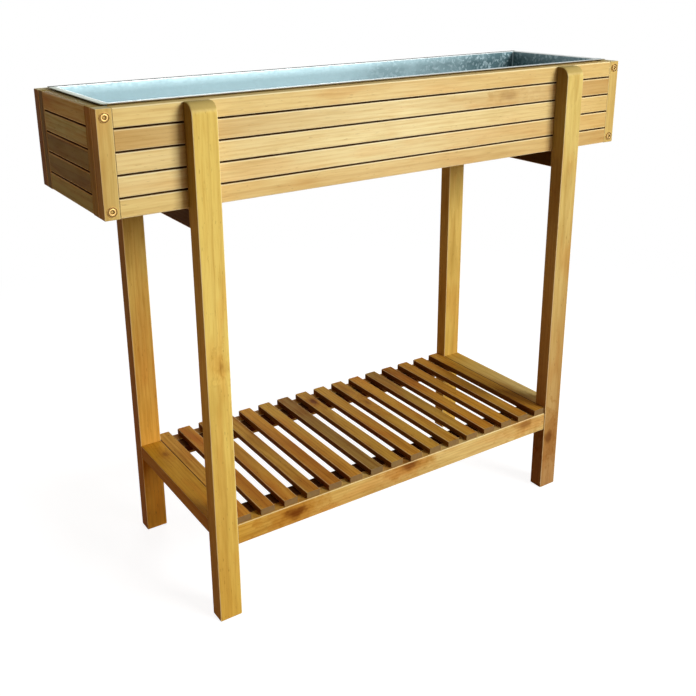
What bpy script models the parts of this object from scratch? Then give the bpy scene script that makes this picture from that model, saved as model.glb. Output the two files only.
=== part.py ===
"""Raised wooden herb planter with a lift-out zinc liner and a slatted shelf.

Metres, +Z up. X runs along the planter, the front faces -Y, and the floor is z = 0.
"""
import math

import bmesh
import bpy
from mathutils import Vector

# Fits
FIT = 0.0003  # between two pieces that touch
TENON_SLACK = 0.0003  # round a tenon in its mortise
EASE = 0.0008  # the eased edges of the planed timber

# Trough
BOX_LENGTH = 0.900
BOX_DEPTH = 0.250
BOX_BOTTOM = 0.615  # the clear height under the trough
BOX_HEIGHT = 0.135
PANEL_THICK = 0.020
STILE_WIDTH = 0.020
BOARD_COUNT = 5
BOARD_GAP = 0.002
EDGE_BOARD = 0.0242  # height of the top and the bottom board
BOX_TENON = 0.005  # length of the tongues on the trough's boards
BOX_TENON_THICK = 0.008
BOX_SHOULDER = 0.004  # step above and below each tongue

# Corner bolts
BOLT_INSET = 0.0105  # from the box's top or bottom to the bolt's axis
BOLT_HEAD = 0.0128
BOLT_HEAD_THICK = 0.0022
BOLT_SEAT = 0.0010  # depth of the counterbore
BOLT_SHANK = 0.006
BOLT_REACH = 0.014  # how far the bolt goes on past the panel
BOLT_HOLE_SLACK = 0.0006  # on the diameter
SOCKET_ACROSS = 0.005
SOCKET_DEPTH = 0.0014

# Legs and the rails between them
LEG_WIDTH = 0.035
LEG_THICK = 0.025
LEG_INSET = 0.110  # from the trough's end to the leg's outer side
LEG_TOP_ROUND = 0.016
CROSS_RAIL_HEIGHT = 0.026
TIE_TENON = 0.010
TIE_TENON_HEIGHT = 0.010
TIE_SHOULDER = 0.007  # step on each side of a tenon on a piece as wide as the leg

# Shelf
SHELF_TOP = 0.160
SLAT_COUNT = 16
SLAT_WIDTH = 0.023
SLAT_THICK = 0.010
SLAT_SETBACK = 0.002  # slat end behind the shelf rail's face
SHELF_RAIL_HEIGHT = 0.032
SHELF_RAIL_THICK = 0.020
SHELF_RAIL_SETBACK = 0.0015  # behind the leg's outer face
SHELF_TENON = 0.015
SHELF_TENON_THICK = 0.008
SHELF_TENON_HEIGHT = 0.016
SHELF_TENON_DROP = 0.020  # from the rail's top to the tenon's middle
END_BOARD_THICK = 0.022
SHELF_BATTEN_WIDTH = 0.027
SHELF_BATTEN_THICK = 0.0115

# Floor board
FLOOR_BOARD_WIDTH = 0.140
FLOOR_BOARD_THICK = 0.012

# Liner
SHEET = 0.0008
RIM_THICK = 0.0012  # the hemmed edge
RIM_WIDTH = 0.009
RIM_ABOVE_WOOD = 0.002
LINER_END_PLAY = 0.003
LINER_SIDE_PLAY = 0.005

# Worked out
BOX_TOP = BOX_BOTTOM + BOX_HEIGHT
BOX_MIDDLE = BOX_BOTTOM + BOX_HEIGHT / 2
PANEL_Y = (BOX_DEPTH - PANEL_THICK) / 2
INNER_LENGTH = BOX_LENGTH - 2 * PANEL_THICK
INNER_DEPTH = BOX_DEPTH - 2 * PANEL_THICK
INNER_BOARD = (BOX_HEIGHT - 2 * EDGE_BOARD - (BOARD_COUNT - 1) * BOARD_GAP) / (BOARD_COUNT - 2)
END_X = (BOX_LENGTH - PANEL_THICK) / 2
END_WINDOW = INNER_DEPTH - 2 * STILE_WIDTH
BOLT_X = (BOX_LENGTH - STILE_WIDTH) / 2
BOLT_SEAT_Y = BOX_DEPTH / 2 - BOLT_SEAT
BOLT_TIP_Y = BOX_DEPTH / 2 - PANEL_THICK - BOLT_REACH
LEG_CLEAR = BOX_LENGTH - 2 * (LEG_INSET + LEG_WIDTH)  # clear width between the legs
LEG_X = (LEG_CLEAR + LEG_WIDTH) / 2
LEG_INNER_Y = BOX_DEPTH / 2 + FIT
LEG_OUTER_Y = LEG_INNER_Y + LEG_THICK
LEG_Y = (LEG_INNER_Y + LEG_OUTER_Y) / 2
CROSS_RAIL_Z = BOX_BOTTOM - FIT - CROSS_RAIL_HEIGHT / 2
SHELF_RAIL_FACE = LEG_OUTER_Y - SHELF_RAIL_SETBACK
SHELF_RAIL_Y = SHELF_RAIL_FACE - SHELF_RAIL_THICK / 2
SHELF_RAIL_TOP = SHELF_TOP - SLAT_THICK - FIT
SHELF_TENON_Z = SHELF_RAIL_TOP - SHELF_TENON_DROP
END_BOARD_Z = SHELF_TOP - END_BOARD_THICK / 2
SLAT_LENGTH = 2 * (SHELF_RAIL_FACE - SLAT_SETBACK)
SLAT_FIRST_X = -LEG_CLEAR / 2 + FIT + SLAT_WIDTH / 2
SLAT_PITCH = (LEG_CLEAR - 2 * FIT - SLAT_WIDTH) / (SLAT_COUNT - 1)
SHELF_BATTEN_Y = SHELF_RAIL_FACE - SHELF_RAIL_THICK - FIT - SHELF_BATTEN_WIDTH / 2
FLOOR_BOARD_Z = BOX_BOTTOM + FIT + FLOOR_BOARD_THICK / 2
LINER_LENGTH = INNER_LENGTH - 2 * LINER_END_PLAY
LINER_DEPTH = INNER_DEPTH - 2 * LINER_SIDE_PLAY
LINER_BOTTOM = FLOOR_BOARD_Z + FLOOR_BOARD_THICK / 2 + FIT
RIM_TOP = BOX_TOP + RIM_ABOVE_WOOD + RIM_THICK

SIDES = (("front", -1), ("back", 1))
ENDS = (("left", -1), ("right", 1))


def clear_scene():
    for old in list(bpy.data.objects):
        bpy.data.objects.remove(old, do_unlink=True)


def collection(name):
    made = bpy.data.collections.new(name)
    bpy.context.scene.collection.children.link(made)
    return made


def material(name, colour, roughness, metallic=0.0):
    made = bpy.data.materials.new(name)
    made.use_nodes = True
    shader = made.node_tree.nodes["Principled BSDF"]
    shader.inputs["Base Color"].default_value = (*colour, 1.0)
    shader.inputs["Roughness"].default_value = roughness
    shader.inputs["Metallic"].default_value = metallic
    return made


def object_from(bm, name, place, finish):
    """Turns a bmesh into a named piece, or into a cutter where it has no finish."""
    mesh = bpy.data.meshes.new(name)
    bm.to_mesh(mesh)
    bm.free()
    made = bpy.data.objects.new(name, mesh)
    made.location = place
    if finish:
        mesh.materials.append(finish)
        PIECES.objects.link(made)
    else:
        made.display_type = "WIRE"
        made.hide_render = True
        CUTTERS.objects.link(made)
    return made


def block(name, size, place, finish=None):
    """A plain box with its middle at its place."""
    bm = bmesh.new()
    bmesh.ops.create_cube(bm, size=1.0)
    bmesh.ops.scale(bm, vec=Vector(size), verts=bm.verts)
    return object_from(bm, name, place, finish)


def round_bar(name, diameter, length, place, sides=32, finish=None):
    """A cylinder along Y with its middle at its place."""
    bm = bmesh.new()
    bmesh.ops.create_cone(
        bm,
        cap_ends=True,
        segments=sides,
        radius1=diameter / 2,
        radius2=diameter / 2,
        depth=length,
    )
    for face in bm.faces:
        face.smooth = len(face.verts) == 4
    made = object_from(bm, name, place, finish)
    made.rotation_euler.x = math.radians(90)
    return made


def combine(target, others, operation):
    """Cuts the others from the target, or joins them to it."""
    for other in others:
        step = target.modifiers.new(other.name, "BOOLEAN")
        step.operation = operation
        step.solver = "EXACT"
        step.object = other


def timber(name, size, place):
    """A planed length of timber with eased edges."""
    made = block(name, size, place, TIMBER)
    ease_edges(made)
    return made


def ease_edges(target):
    step = target.modifiers.new("Eased edges", "BEVEL")
    step.width = EASE
    step.segments = 1
    step.limit_method = "ANGLE"


def slack(size):
    """The size of the mortise for a tenon that goes right through its board."""
    return tuple(side + 2 * TENON_SLACK for side in size)


def board_rows():
    """Yields each board's number, middle height and height, from the top down."""
    top = BOX_TOP
    for number in range(1, BOARD_COUNT + 1):
        height = EDGE_BOARD if number in (1, BOARD_COUNT) else INNER_BOARD
        yield number, top - height / 2, height
        top -= height + BOARD_GAP


def window_rows():
    """The boards that fill an end frame's window: all but the top and the bottom one."""
    return [row for row in board_rows() if row[0] not in (1, BOARD_COUNT)]


def bolt_heights():
    return (("top", BOX_TOP - BOLT_INSET), ("bottom", BOX_BOTTOM + BOLT_INSET))


def bolt_holes(prefix, side_sign, end_sign):
    """Clearance holes for one corner's two bolts."""
    holes = []
    deep = BOLT_TIP_Y - FIT
    length = BOX_DEPTH / 2 + FIT - deep
    for level, z in bolt_heights():
        place = (end_sign * BOLT_X, side_sign * (deep + length / 2), z)
        hole = round_bar(f"{prefix}_{level}_hole", BOLT_SHANK + BOLT_HOLE_SLACK, length, place)
        holes.append(hole)
    return holes


def bolt_seats(prefix, side_sign, end_sign):
    """Counterbores in the outer face for one corner's two bolt heads."""
    seats = []
    for level, z in bolt_heights():
        place = (end_sign * BOLT_X, side_sign * BOX_DEPTH / 2, z)
        seat = round_bar(f"{prefix}_{level}_seat", BOLT_HEAD + BOLT_HOLE_SLACK, 2 * BOLT_SEAT, place)
        seats.append(seat)
    return seats


def box_stile(side, side_sign, end, end_sign):
    """A corner upright of the front or back panel."""
    name = f"{side}_stile_{end}"
    y = side_sign * PANEL_Y
    size = (STILE_WIDTH, PANEL_THICK, BOX_HEIGHT)
    stile = timber(name, size, (end_sign * (BOX_LENGTH - STILE_WIDTH) / 2, y, BOX_MIDDLE))
    inner_x = end_sign * (BOX_LENGTH / 2 - STILE_WIDTH)
    cuts = bolt_holes(name, side_sign, end_sign) + bolt_seats(name, side_sign, end_sign)
    for number, middle, height in board_rows():
        tongue = (2 * BOX_TENON, BOX_TENON_THICK, height - 2 * BOX_SHOULDER)
        cuts.append(block(f"{name}_mortise_{number}", slack(tongue), (inner_x, y, middle)))
    combine(stile, cuts, "DIFFERENCE")


def box_board(side, side_sign, number, middle, height):
    """A long board of the front or back panel, with a tongue at each end."""
    name = f"{side}_board_{number}"
    place = (0, side_sign * PANEL_Y, middle)
    length = BOX_LENGTH - 2 * STILE_WIDTH - 2 * FIT
    board = timber(name, (length, PANEL_THICK, height), place)
    tongue = (length + 2 * BOX_TENON, BOX_TENON_THICK, height - 2 * BOX_SHOULDER)
    combine(board, [block(f"{name}_tongues", tongue, place)], "UNION")


def end_frame(end, end_sign):
    """The glued-up frame of an end panel: two uprights with the top and bottom board."""
    name = f"{end}_end_frame"
    x = end_sign * END_X
    place = (x, 0, BOX_MIDDLE)
    frame = timber(name, (PANEL_THICK, INNER_DEPTH - 2 * FIT, BOX_HEIGHT), place)
    window = (2 * PANEL_THICK, END_WINDOW, BOX_HEIGHT - 2 * EDGE_BOARD)
    cuts = [block(f"{name}_window", window, place)]
    for number, middle, height in window_rows():
        tongues = (BOX_TENON_THICK, END_WINDOW + 2 * BOX_TENON, height - 2 * BOX_SHOULDER)
        cuts.append(block(f"{name}_mortise_{number}", slack(tongues), (x, 0, middle)))
    for side, side_sign in SIDES:
        cuts += bolt_holes(f"{name}_{side}", side_sign, end_sign)
    combine(frame, cuts, "DIFFERENCE")


def end_board(end, end_sign, number, middle, height):
    """A short board that fills the end frame's window."""
    name = f"{end}_end_board_{number}"
    place = (end_sign * END_X, 0, middle)
    width = END_WINDOW - 2 * FIT
    board = timber(name, (PANEL_THICK, width, height), place)
    tongues = (BOX_TENON_THICK, width + 2 * BOX_TENON, height - 2 * BOX_SHOULDER)
    combine(board, [block(f"{name}_tongues", tongues, place)], "UNION")


def corner_bolt(side, side_sign, end, end_sign, level, z):
    """A hex-socket furniture bolt through a corner upright into the end frame."""
    name = f"corner_bolt_{side}_{end}_{level}"
    x = end_sign * BOLT_X
    under_head = BOLT_SEAT_Y + FIT
    head_middle = under_head + BOLT_HEAD_THICK / 2
    head_face = under_head + BOLT_HEAD_THICK
    place = (x, side_sign * head_middle, z)
    head = round_bar(name, BOLT_HEAD, BOLT_HEAD_THICK, place, finish=YELLOW_METAL)
    edge = head.modifiers.new("Head edge", "BEVEL")
    edge.width = BOLT_HEAD_THICK / 4
    edge.segments = 2
    edge.limit_method = "ANGLE"
    length = head_middle - BOLT_TIP_Y
    middle = side_sign * (head_middle + BOLT_TIP_Y) / 2
    shank = round_bar(f"{name}_shank", BOLT_SHANK, length, (x, middle, z), sides=20)
    across_corners = SOCKET_ACROSS / math.cos(math.radians(30))
    mouth = (x, side_sign * head_face, z)
    socket = round_bar(f"{name}_socket", across_corners, 2 * SOCKET_DEPTH, mouth, sides=6)
    combine(head, [shank], "UNION")
    combine(head, [socket], "DIFFERENCE")


def leg(side, side_sign, end, end_sign):
    """A leg outside the trough, its top outer edge rounded, with mortises for its rails."""
    name = f"leg_{side}_{end}"
    bm = bmesh.new()
    bmesh.ops.create_cube(bm, size=1.0)
    bmesh.ops.scale(bm, vec=Vector((LEG_WIDTH, LEG_THICK, BOX_TOP)), verts=bm.verts)
    top_outer = [
        edge
        for edge in bm.edges
        if all(v.co.z > 0 and v.co.y * side_sign > 0 for v in edge.verts)
    ]
    rounded = bmesh.ops.bevel(
        bm,
        geom=top_outer,
        offset=min(LEG_TOP_ROUND, LEG_THICK - 2 * EASE),
        segments=10,
        profile=0.5,
        affect="EDGES",
    )
    for face in rounded["faces"]:
        face.smooth = True
    post = object_from(bm, name, (end_sign * LEG_X, side_sign * LEG_Y, BOX_TOP / 2), TIMBER)
    ease_edges(post)
    tie_tenon = (LEG_WIDTH - 2 * TIE_SHOULDER, 2 * TIE_TENON, TIE_TENON_HEIGHT)
    shelf_tenon = (2 * SHELF_TENON, SHELF_TENON_THICK, SHELF_TENON_HEIGHT)
    inner_y = side_sign * LEG_INNER_Y
    inner_x = end_sign * LEG_CLEAR / 2
    rail_y = side_sign * SHELF_RAIL_Y
    mortises = [
        block(f"{name}_upper", slack(tie_tenon), (end_sign * LEG_X, inner_y, CROSS_RAIL_Z)),
        block(f"{name}_lower", slack(tie_tenon), (end_sign * LEG_X, inner_y, END_BOARD_Z)),
        block(f"{name}_shelf", slack(shelf_tenon), (inner_x, rail_y, SHELF_TENON_Z)),
    ]
    combine(post, mortises, "DIFFERENCE")


def leg_tie(name, end_sign, height, z):
    """A piece as wide as the leg that joins a front leg to the back leg behind it."""
    place = (end_sign * LEG_X, 0, z)
    length = 2 * (LEG_INNER_Y - FIT)
    tie = timber(name, (LEG_WIDTH, length, height), place)
    tenons = (LEG_WIDTH - 2 * TIE_SHOULDER, length + 2 * TIE_TENON, TIE_TENON_HEIGHT)
    combine(tie, [block(f"{name}_tenons", tenons, place)], "UNION")


def shelf_rail(side, side_sign):
    """A long rail between two legs, under the slats' ends."""
    name = f"shelf_rail_{side}"
    y = side_sign * SHELF_RAIL_Y
    length = LEG_CLEAR - 2 * FIT
    size = (length, SHELF_RAIL_THICK, SHELF_RAIL_HEIGHT)
    rail = timber(name, size, (0, y, SHELF_RAIL_TOP - SHELF_RAIL_HEIGHT / 2))
    tenons = (length + 2 * SHELF_TENON, SHELF_TENON_THICK, SHELF_TENON_HEIGHT)
    combine(rail, [block(f"{name}_tenons", tenons, (0, y, SHELF_TENON_Z))], "UNION")


def shelf_slat(number):
    """A slat from the front rail to the back rail."""
    x = SLAT_FIRST_X + (number - 1) * SLAT_PITCH
    size = (SLAT_WIDTH, SLAT_LENGTH, SLAT_THICK)
    timber(f"shelf_slat_{number:02d}", size, (x, 0, SHELF_TOP - SLAT_THICK / 2))


def shelf_batten(side, side_sign):
    """A batten behind the shelf rail, under the slats, from end board to end board."""
    size = (LEG_CLEAR - 2 * FIT, SHELF_BATTEN_WIDTH, SHELF_BATTEN_THICK)
    z = SHELF_RAIL_TOP - SHELF_BATTEN_THICK / 2
    timber(f"shelf_batten_{side}", size, (0, side_sign * SHELF_BATTEN_Y, z))


def floor_board():
    """A long board on the cross rails, which carries the liner."""
    size = (INNER_LENGTH - 2 * FIT, FLOOR_BOARD_WIDTH, FLOOR_BOARD_THICK)
    timber("floor_board", size, (0, 0, FLOOR_BOARD_Z))


def liner():
    """The zinc-coated trough that drops in, with a flat hemmed rim."""
    height = RIM_TOP - LINER_BOTTOM
    middle = (0, 0, LINER_BOTTOM + height / 2)
    tub = block("liner", (LINER_LENGTH, LINER_DEPTH, height), middle, ZINC)
    rim_size = (LINER_LENGTH + 2 * RIM_WIDTH, LINER_DEPTH + 2 * RIM_WIDTH, RIM_THICK)
    rim = block("liner_rim", rim_size, (0, 0, RIM_TOP - RIM_THICK / 2))
    hollow_size = (LINER_LENGTH - 2 * SHEET, LINER_DEPTH - 2 * SHEET, 2 * (height - SHEET))
    hollow = block("liner_hollow", hollow_size, (0, 0, RIM_TOP))
    combine(tub, [rim], "UNION")
    combine(tub, [hollow], "DIFFERENCE")


clear_scene()
PIECES = collection("raised_herb_planter")
CUTTERS = collection("cutters")
TIMBER = material("oiled acacia", (0.62, 0.40, 0.14), 0.5)
ZINC = material("zinc-coated steel", (0.62, 0.70, 0.74), 0.35, 1.0)
YELLOW_METAL = material("yellow-plated steel", (0.78, 0.60, 0.28), 0.3, 1.0)

for end, end_sign in ENDS:
    end_frame(end, end_sign)
    for number, middle, height in window_rows():
        end_board(end, end_sign, number, middle, height)
    leg_tie(f"cross_rail_{end}", end_sign, CROSS_RAIL_HEIGHT, CROSS_RAIL_Z)
    leg_tie(f"shelf_end_board_{end}", end_sign, END_BOARD_THICK, END_BOARD_Z)

for side, side_sign in SIDES:
    for number, middle, height in board_rows():
        box_board(side, side_sign, number, middle, height)
    for end, end_sign in ENDS:
        box_stile(side, side_sign, end, end_sign)
        leg(side, side_sign, end, end_sign)
        for level, z in bolt_heights():
            corner_bolt(side, side_sign, end, end_sign, level, z)
    shelf_rail(side, side_sign)
    shelf_batten(side, side_sign)

for number in range(1, SLAT_COUNT + 1):
    shelf_slat(number)

floor_board()
liner()
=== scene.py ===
# %% [markdown]
# # A raised herb planter
#
# This is a garden planter of oiled acacia: an oblong trough of five rows of boards on four
# legs, a zinc-coated steel liner that drops into it, and a slatted shelf near the floor. The
# CAD frame already holds every piece at its real size. This script gives each piece its looks:
# rounded edges, wood grain, folded sheet and plated bolts. Metres, +Z up, the front faces -Y.

import math
import random

import bmesh
import bpy
from mathutils import Matrix, Vector, noise


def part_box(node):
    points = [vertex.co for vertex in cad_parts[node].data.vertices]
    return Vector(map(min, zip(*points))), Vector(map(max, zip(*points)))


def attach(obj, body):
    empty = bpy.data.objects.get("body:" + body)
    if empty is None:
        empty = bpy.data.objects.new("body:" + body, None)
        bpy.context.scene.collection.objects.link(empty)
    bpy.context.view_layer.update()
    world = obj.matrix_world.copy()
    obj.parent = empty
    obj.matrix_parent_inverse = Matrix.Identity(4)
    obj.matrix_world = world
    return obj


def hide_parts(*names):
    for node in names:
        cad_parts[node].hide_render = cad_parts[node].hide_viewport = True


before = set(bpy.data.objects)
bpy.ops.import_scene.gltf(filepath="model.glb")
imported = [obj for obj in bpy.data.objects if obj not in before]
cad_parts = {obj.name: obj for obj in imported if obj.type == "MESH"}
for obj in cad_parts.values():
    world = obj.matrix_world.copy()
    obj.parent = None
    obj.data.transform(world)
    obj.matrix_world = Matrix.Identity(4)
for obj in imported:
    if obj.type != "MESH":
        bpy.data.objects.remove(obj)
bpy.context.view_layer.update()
MM = 0.001
RIGHT_ANGLE = math.radians(90)

# %% [markdown]
# ## Small helpers
#
# Colours are written as sRGB hex values, as on a paint chart, but Blender's shaders want linear
# light, so one function converts them. Materials are built from nodes, and one function adds a
# node, sets it up and links its inputs. A helper for each kind of node would only hide them.


# %% Colours and nodes
def srgb(code):
    """Turns "#RRGGBB" into linear red, green, blue and an alpha of 1."""
    parts = [int(code[i : i + 2], 16) / 255 for i in (1, 3, 5)]
    linear = [c / 12.92 if c <= 0.04045 else ((c + 0.055) / 1.055) ** 2.4 for c in parts]
    return (*linear, 1.0)


def add(tree, kind, inputs=None, **settings):
    """Adds a node. An input is a value, an output to link, or a node to link the first of."""
    node = tree.nodes.new("ShaderNode" + kind)
    for setting, value in settings.items():
        setattr(node, setting, value)
    for socket, value in (inputs or {}).items():
        if isinstance(value, bpy.types.Node):
            value = value.outputs[0]
        if isinstance(value, bpy.types.NodeSocket):
            tree.links.new(value, node.inputs[socket])
        else:
            node.inputs[socket].default_value = value
    return node


# Sockets that go by number, because their names are long or shared.
LOW, HIGH, TO_LOW, TO_HIGH = 1, 2, 3, 4  # a Map Range node's two ranges
MIX_A, MIX_B, MIX_RESULT = 6, 7, 2  # a Mix node's two colours and what it makes of them
SOFTLY = {"interpolation_type": "SMOOTHSTEP"}  # a Map Range that eases in and out
WHITE = srgb("#FFFFFF")


def new_material(name):
    """A material with only its output and its Principled shader."""
    made = bpy.data.materials.new(name)
    made.use_nodes = True
    return made, made.node_tree, made.node_tree.nodes["Principled BSDF"]


print("white is", WHITE)

# %% [markdown]
# ## The camera
#
# The photograph looks down on the planter from its left front corner. A camera could be placed
# by eye, but this one was fitted to measured corners of the object. It stands higher than the
# trough and tips down, so the uprights draw together towards the floor, as in the photograph.

# %% Camera
PICTURE = 696  # the picture's width and height in pixels
SENSOR = 36.0  # mm
FOCAL_PIXELS = 906.7
AXIS_PIXEL = (325, 265)  # where the lens axis meets the picture
CAMERA_PLACE = (-0.7960, -1.1573, 0.90)
CAMERA_TURNS = (32.58, 18.01, -0.77)  # degrees: to the right, down, and round the lens axis

camera_data = bpy.data.cameras.new("camera")
camera_data.sensor_width = SENSOR
camera_data.lens = FOCAL_PIXELS / PICTURE * SENSOR
camera_data.shift_x = 0.5 - AXIS_PIXEL[0] / PICTURE
camera_data.shift_y = AXIS_PIXEL[1] / PICTURE - 0.5
camera = bpy.data.objects.new("camera", camera_data)
bpy.context.scene.collection.objects.link(camera)
turn_right, tip_down, roll = (math.radians(turn) for turn in CAMERA_TURNS)
camera.matrix_world = (
    Matrix.Translation(CAMERA_PLACE)
    @ Matrix.Rotation(-turn_right, 4, "Z")
    @ Matrix.Rotation(RIGHT_ANGLE - tip_down, 4, "X")
    @ Matrix.Rotation(roll, 4, "Z")
)
bpy.context.scene.camera = camera
print("lens", round(camera_data.lens, 2), "mm")

# %% [markdown]
# ## Oiled acacia, planed
#
# Acacia, planed and oiled, is a warm straw to golden wood with broad darker streaks, fine
# fibres, short dark pores and now and then a knot, under a soft satin sheen. A flat colour with
# noise on it would look like plastic. So the wood is built as one log, and each board reads
# another place in it. What differs between boards is stored on their meshes and read by name.

# %% Acacia: what a board tells it
BOARD_SAYS = ("log_place", "tone", "figure", "gaps", "end_tone")

acacia, tree, shader = new_material("oiled planed acacia")
place = add(tree, "TexCoord")
said = {name: add(tree, "Attribute", attribute_name=name) for name in BOARD_SAYS}
figure = said["figure"].outputs["Fac"]
print("a board says its", ", ".join(BOARD_SAYS))

# %% [markdown]
# ## Acacia: knots
#
# A knot is the foot of a branch, dark in the middle, and the wood round it is a little darker
# too. It could be a picture stuck on the board, but a real one goes right through. So only the
# distance along and across the grain counts, and the same knot shows on both faces. Noise
# makes its outline ragged. A board has room for three, and a strength of 0 hides one.

# %% Acacia: knots
KNOT_SLOTS = ("knot_1", "knot_2", "knot_3")
KNOT_LONG = 2.0  # a knot's length over its width, where the saw cuts it at a slant
KNOT_WANDER = 14 * MM  # a knot's outline comes and goes over this length
KNOT_CORE = (1.5, 0.2)  # it starts here and is full there, in the knot's own radii
KNOT_HALO = (4.5, 0.8)

here = add(tree, "SeparateXYZ", {0: place.outputs["Object"]})
ragged = {"Vector": place.outputs["Object"], "Scale": 1 / KNOT_WANDER, "Detail": 2.0}
ragged = add(tree, "TexNoise", ragged)
ragged = add(tree, "MapRange", {0: ragged, LOW: 0.3, HIGH: 0.7, TO_LOW: 0.6, TO_HIGH: 1.6})


def knot_mask(slot, edge, full):
    """From 0 to the knot's strength. The slot holds its place, its radius and its strength."""
    knot = add(tree, "Attribute", attribute_name=slot)
    centre = add(tree, "SeparateXYZ", {0: knot.outputs["Vector"]})
    along, across = (
        add(tree, "Math", {0: here.outputs[axis], 1: centre.outputs[axis]}, operation="SUBTRACT")
        for axis in "XY"
    )
    along = add(tree, "Math", {0: along, 1: KNOT_LONG}, operation="DIVIDE")
    away = add(tree, "CombineXYZ", {0: along, 1: across})
    away = add(tree, "VectorMath", {0: away}, operation="LENGTH").outputs["Value"]
    radii = add(tree, "Math", {0: away, 1: centre.outputs["Z"]}, operation="DIVIDE")
    radii = add(tree, "Math", {0: radii, 1: ragged}, operation="MULTIPLY")
    mask = add(tree, "MapRange", {0: radii, LOW: edge, HIGH: full}, **SOFTLY)
    return add(tree, "Math", {0: mask, 1: knot.outputs["Alpha"]}, operation="MULTIPLY")


def strongest(masks):
    """The greatest of some masks at each point."""
    total = masks[0]
    for mask in masks[1:]:
        total = add(tree, "Math", {0: total, 1: mask}, operation="MAXIMUM")
    return total


knot_core = strongest([knot_mask(slot, *KNOT_CORE) for slot in KNOT_SLOTS])
knot_halo = strongest([knot_mask(slot, *KNOT_HALO) for slot in KNOT_SLOTS])
print("room for", len(KNOT_SLOTS), "knots on a board")

# %% [markdown]
# ## Acacia: growth rings
#
# A sawn board shows a tree's yearly rings as long arches and stripes. Drawn on each face, they
# wouldn't meet at the edges. Here they are real rings round a pith that lies outside the
# board, stretched along the grain, so every face cuts the same ones. A knot pushes them aside.

# %% Acacia: growth rings
RING_SPACING = 5.5 * MM
RING_STRETCH = 14  # rings wander this much more slowly along the grain than across it
KNOT_SWELL = 13 * MM  # how far a knot pushes the rings aside
WAVE_UNIT = 2 * math.pi / 20  # the Wave node's ring spacing at a scale of 1

swell = add(tree, "Math", {0: knot_halo, 1: KNOT_SWELL}, operation="MULTIPLY")
swell = add(tree, "CombineXYZ", {"Z": swell})
in_log = place.outputs["Object"]
for shift in (said["log_place"].outputs["Vector"], swell):
    in_log = add(tree, "VectorMath", {0: in_log, 1: shift}, operation="ADD")
stretched = add(tree, "VectorMath", {0: in_log, 1: (1 / RING_STRETCH, 1, 1)}, operation="MULTIPLY")
rings = {
    "Vector": stretched, "Scale": WAVE_UNIT / RING_SPACING, "Distortion": 7.0,
    "Detail": 2.0, "Detail Scale": 0.55, "Detail Roughness": 0.45,
}
rings = add(tree, "TexWave", rings, wave_type="RINGS", rings_direction="X", wave_profile="SAW")
# Each ring starts pale and ends in a darker line of late wood.
ring_mask = add(tree, "MapRange", {0: rings.outputs["Fac"], LOW: 0.45, TO_HIGH: 0.40}, **SOFTLY)
ring_mask = add(tree, "Math", {0: ring_mask, 1: figure}, operation="MULTIPLY")
print("rings every", RING_SPACING / MM, "mm")

# %% [markdown]
# ## Acacia: streaks, fibres and pores
#
# Each layer is noise, stretched along the grain to the length and width of one mark and cut
# off softly, so that only its peaks tint the wood. The broad layers follow the piece's own
# figure, from 0 for a plain board to 1 for a lively one. Real fibres are about half a
# millimetre wide, and are drawn about four times as coarse, so that they show in the render.

# %% Acacia: layers
# name: (length mm, width mm, starts at, full at, tint, strength, follows the figure)
LAYERS = {
    "heartwood": (420, 46, 0.48, 0.68, "#D0A870", 0.75, True),
    "russet": (130, 34, 0.50, 0.68, "#EFB87C", 0.60, True),
    "olive": (110, 24, 0.50, 0.68, "#CCBE8C", 0.50, True),
    "streaks": (120, 6.5, 0.50, 0.66, "#D8B880", 0.50, True),
    "fibres": (38, 2.2, 0.42, 0.70, "#DCC090", 0.22, False),
    "pores": (11, 1.9, 0.65, 0.72, "#8A6238", 0.80, True),
}
NEXT_PATTERN = (7.3, 3.1, 5.7)  # from each layer's place in the noise to the next one's

tints = [(ring_mask, "MULTIPLY", "#B98C50")]  # all that tints the wood, from below
masks = {}
for number, (name, layer) in enumerate(LAYERS.items()):
    length, width, start, full, tint, strength, follows = layer
    at = tuple(step * number for step in NEXT_PATTERN)
    scale = (1 / (length * MM), 1 / (width * MM), 1 / (width * MM))
    mapped = add(tree, "Mapping", {"Vector": in_log, "Location": at, "Scale": scale})
    pattern = {"Vector": mapped, "Scale": 1.0, "Detail": 2.5, "Roughness": 0.55}
    pattern = add(tree, "TexNoise", pattern)
    mask = add(tree, "MapRange", {0: pattern, LOW: start, HIGH: full, TO_HIGH: strength}, **SOFTLY)
    if follows:
        mask = add(tree, "Math", {0: mask, 1: figure}, operation="MULTIPLY")
    masks[name] = mask
    tints.append((mask, "MULTIPLY", tint))
print("layers:", ", ".join(LAYERS))

# %% [markdown]
# ## Acacia: ends and edges
#
# End grain drinks more oil and shows its cut pores, so it is greyer and darker. The rounded
# long edges are painted paler: partly sanding and handling, partly a painted highlight where
# an edge would catch the light. Both follow from the way the surface faces in the piece's own
# axes: along the grain is an end, and between two axes is a rounded edge.

# %% Acacia: ends and edges
facing = add(tree, "SeparateXYZ", {0: place.outputs["Normal"]})
along_grain = add(tree, "Math", {0: facing}, operation="ABSOLUTE")
end_mask = add(tree, "MapRange", {0: along_grain, LOW: 0.2, HIGH: 0.6, TO_HIGH: 0.85}, **SOFTLY)
# The fourth powers of a normal's parts add up to 1 on a flat face and to less on an edge.
powers = place.outputs["Normal"]
for operation in ("MULTIPLY", "DOT_PRODUCT"):
    powers = add(tree, "VectorMath", {0: powers, 1: powers}, operation=operation)
powers = powers.outputs["Value"]
edge_wear_and_highlight = add(tree, "MapRange", {0: powers, LOW: 0.97, HIGH: 0.6, TO_HIGH: 0.9}, **SOFTLY)
long_edge = add(tree, "MapRange", {0: along_grain, LOW: 0.5, HIGH: 0.1})
edge_wear_and_highlight = add(tree, "Math", {0: edge_wear_and_highlight, 1: long_edge}, operation="MULTIPLY")
print("ends and edges told from the way the surface faces")
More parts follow.
